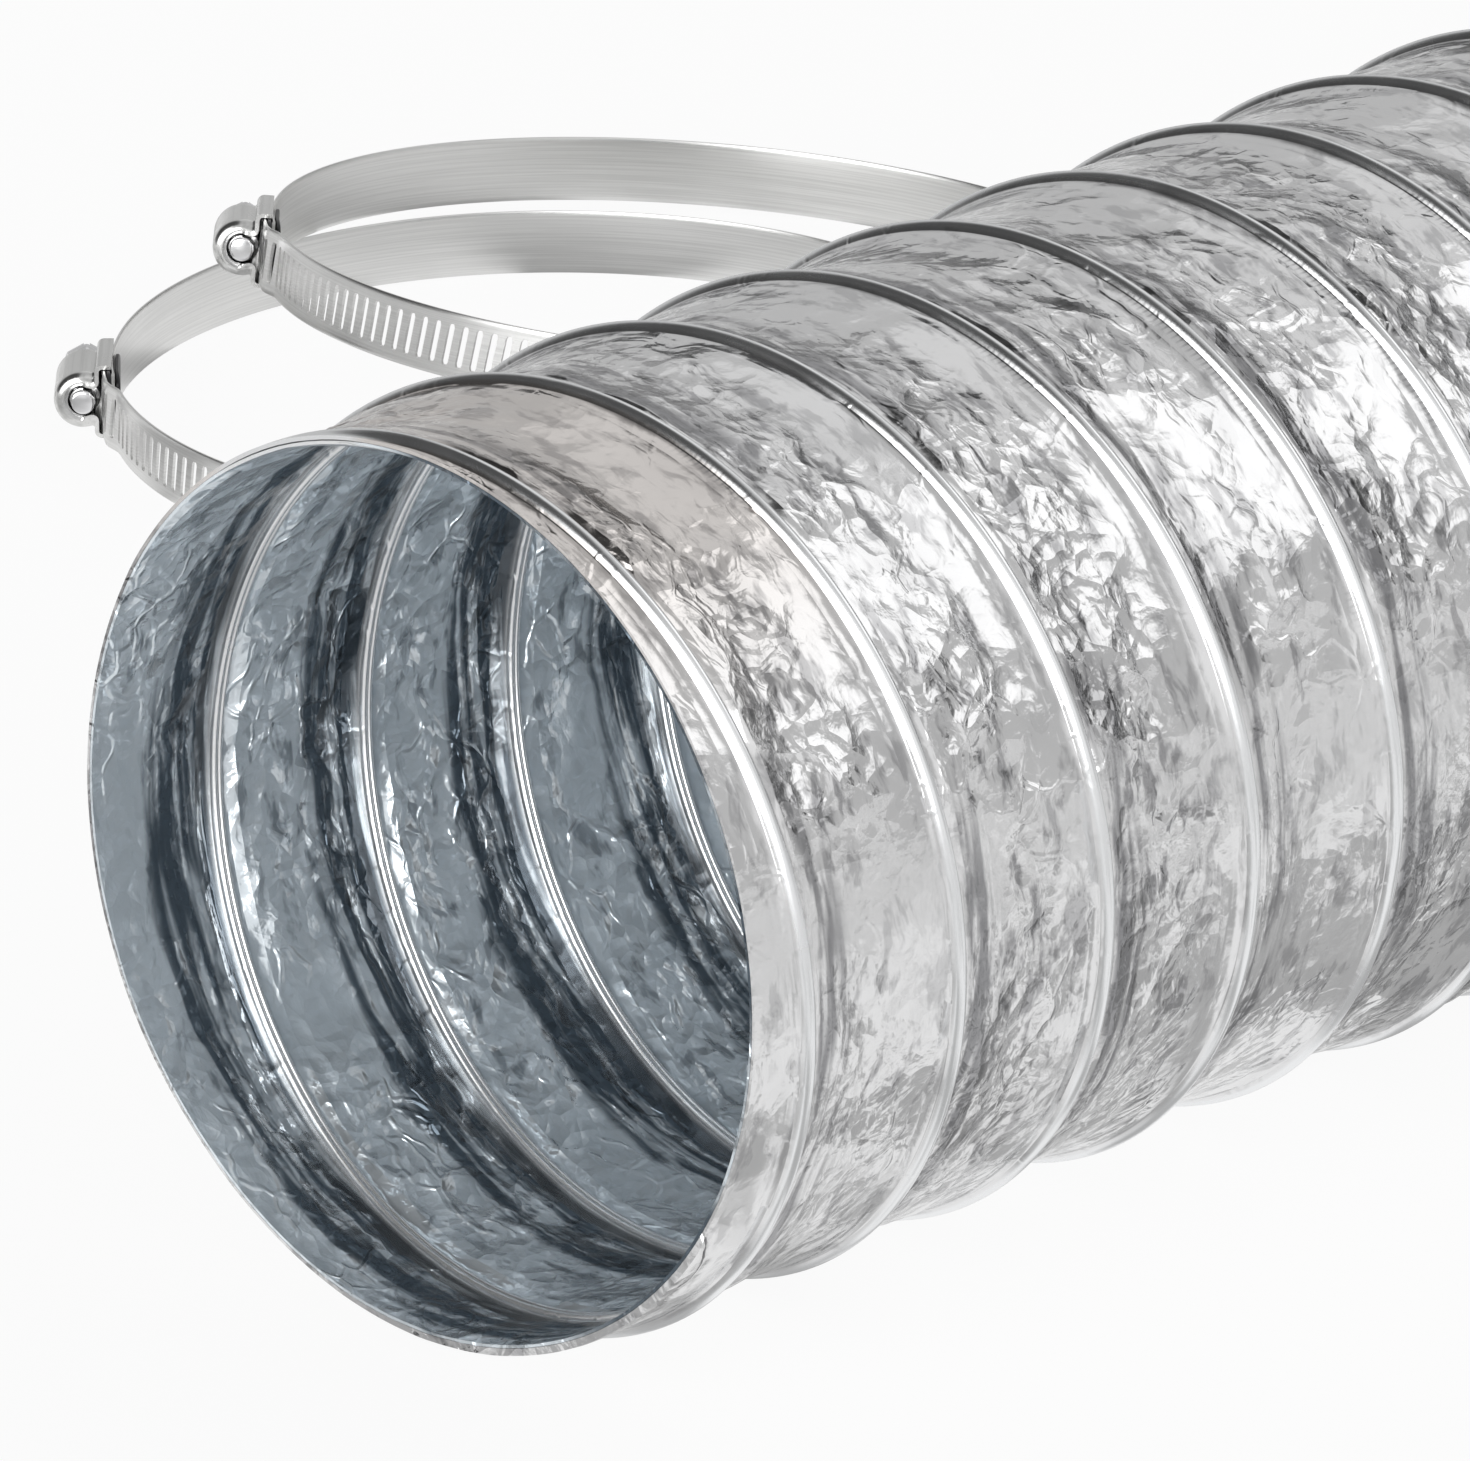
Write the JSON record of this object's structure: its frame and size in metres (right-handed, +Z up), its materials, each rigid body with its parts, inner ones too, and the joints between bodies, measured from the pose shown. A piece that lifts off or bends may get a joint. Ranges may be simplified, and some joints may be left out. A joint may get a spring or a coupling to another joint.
{
  "type": "flexible air duct",
  "caption": "Flexible foil air duct: two foil plies over a spiral spring wire, with two worm-drive hose clamps lying open beside it.",
  "frame": {"origin": "centre of the duct's front mouth, in the plane of its cut edge", "axes": "+X along the duct's axis, from the front mouth to the rear one; +Z up"},
  "size_m": [0.4653, 0.4696, 0.1614],
  "materials": {
    "foil_outer": "crumpled bright foil",
    "foil_inner": "crumpled bright foil, cooler and darker",
    "spring_wire": "drawn spring wire",
    "clamp_band": "satin stainless strip",
    "clamp_housing": "pressed stainless",
    "clamp_saddle": "dark pressed steel",
    "clamp_screw": "bright plated steel"
  },
  "bodies": {
    "duct_front": {"outer_foil_ply": "foil_outer", "spring_wire_helix": "spring_wire"},
    "duct_rear": {"inner_foil_ply": "foil_inner"},
    "clamp_1_ring": {"clamp_1_band": "clamp_band"},
    "clamp_1_slider": {"clamp_1_housing": "clamp_housing", "clamp_1_saddle": "clamp_saddle"},
    "clamp_1_worm": {"clamp_1_screw": "clamp_screw"},
    "clamp_2_ring": {"clamp_2_band": "clamp_band"},
    "clamp_2_slider": {"clamp_2_housing": "clamp_housing", "clamp_2_saddle": "clamp_saddle"},
    "clamp_2_worm": {"clamp_2_screw": "clamp_screw"}
  },
  "joints": [
    {"name": "duct_extension", "type": "slide", "parent": "duct_front", "child": "duct_rear", "axis": [1, 0, 0], "range_m": [-0.27, 0], "deforming": ["outer_foil_ply", "spring_wire_helix", "inner_foil_ply"]},
    {"name": "clamp_1_lift", "type": "slide", "parent": "duct_front", "child": "clamp_1_ring", "axis": [0, 0, 1], "range_m": [0, 0.15]},
    {"name": "clamp_1_closing", "type": "slide", "parent": "clamp_1_ring", "child": "clamp_1_slider", "axis": [0.6984, -0.7157, -0.0055], "range_m": [0, 0.02], "deforming": ["clamp_1_band"]},
    {"name": "clamp_1_screw_turn", "type": "hinge", "parent": "clamp_1_slider", "child": "clamp_1_worm", "pos_m": [0.27172, 0.36484, -0.07318], "axis": [-0.7157, -0.6984, 0], "range_deg": [0, 7070]},
    {"name": "clamp_2_lift", "type": "slide", "parent": "clamp_1_ring", "child": "clamp_2_ring", "axis": [0, 0, 1], "range_m": [0, 0.15]},
    {"name": "clamp_2_closing", "type": "slide", "parent": "clamp_2_ring", "child": "clamp_2_slider", "axis": [0.6929, -0.7161, -0.0846], "range_m": [0, 0.02], "deforming": ["clamp_2_band"]},
    {"name": "clamp_2_screw_turn", "type": "hinge", "parent": "clamp_2_slider", "child": "clamp_2_worm", "pos_m": [0.31682, 0.36788, -0.05539], "axis": [-0.7092, -0.698, 0.0992], "range_deg": [0, 7070]}
  ],
  "couplings": [
    {"joint": "clamp_1_screw_turn", "follows": "clamp_1_closing", "rad_per_m": 6168.5},
    {"joint": "clamp_2_screw_turn", "follows": "clamp_2_closing", "rad_per_m": 6168.5}
  ]
}
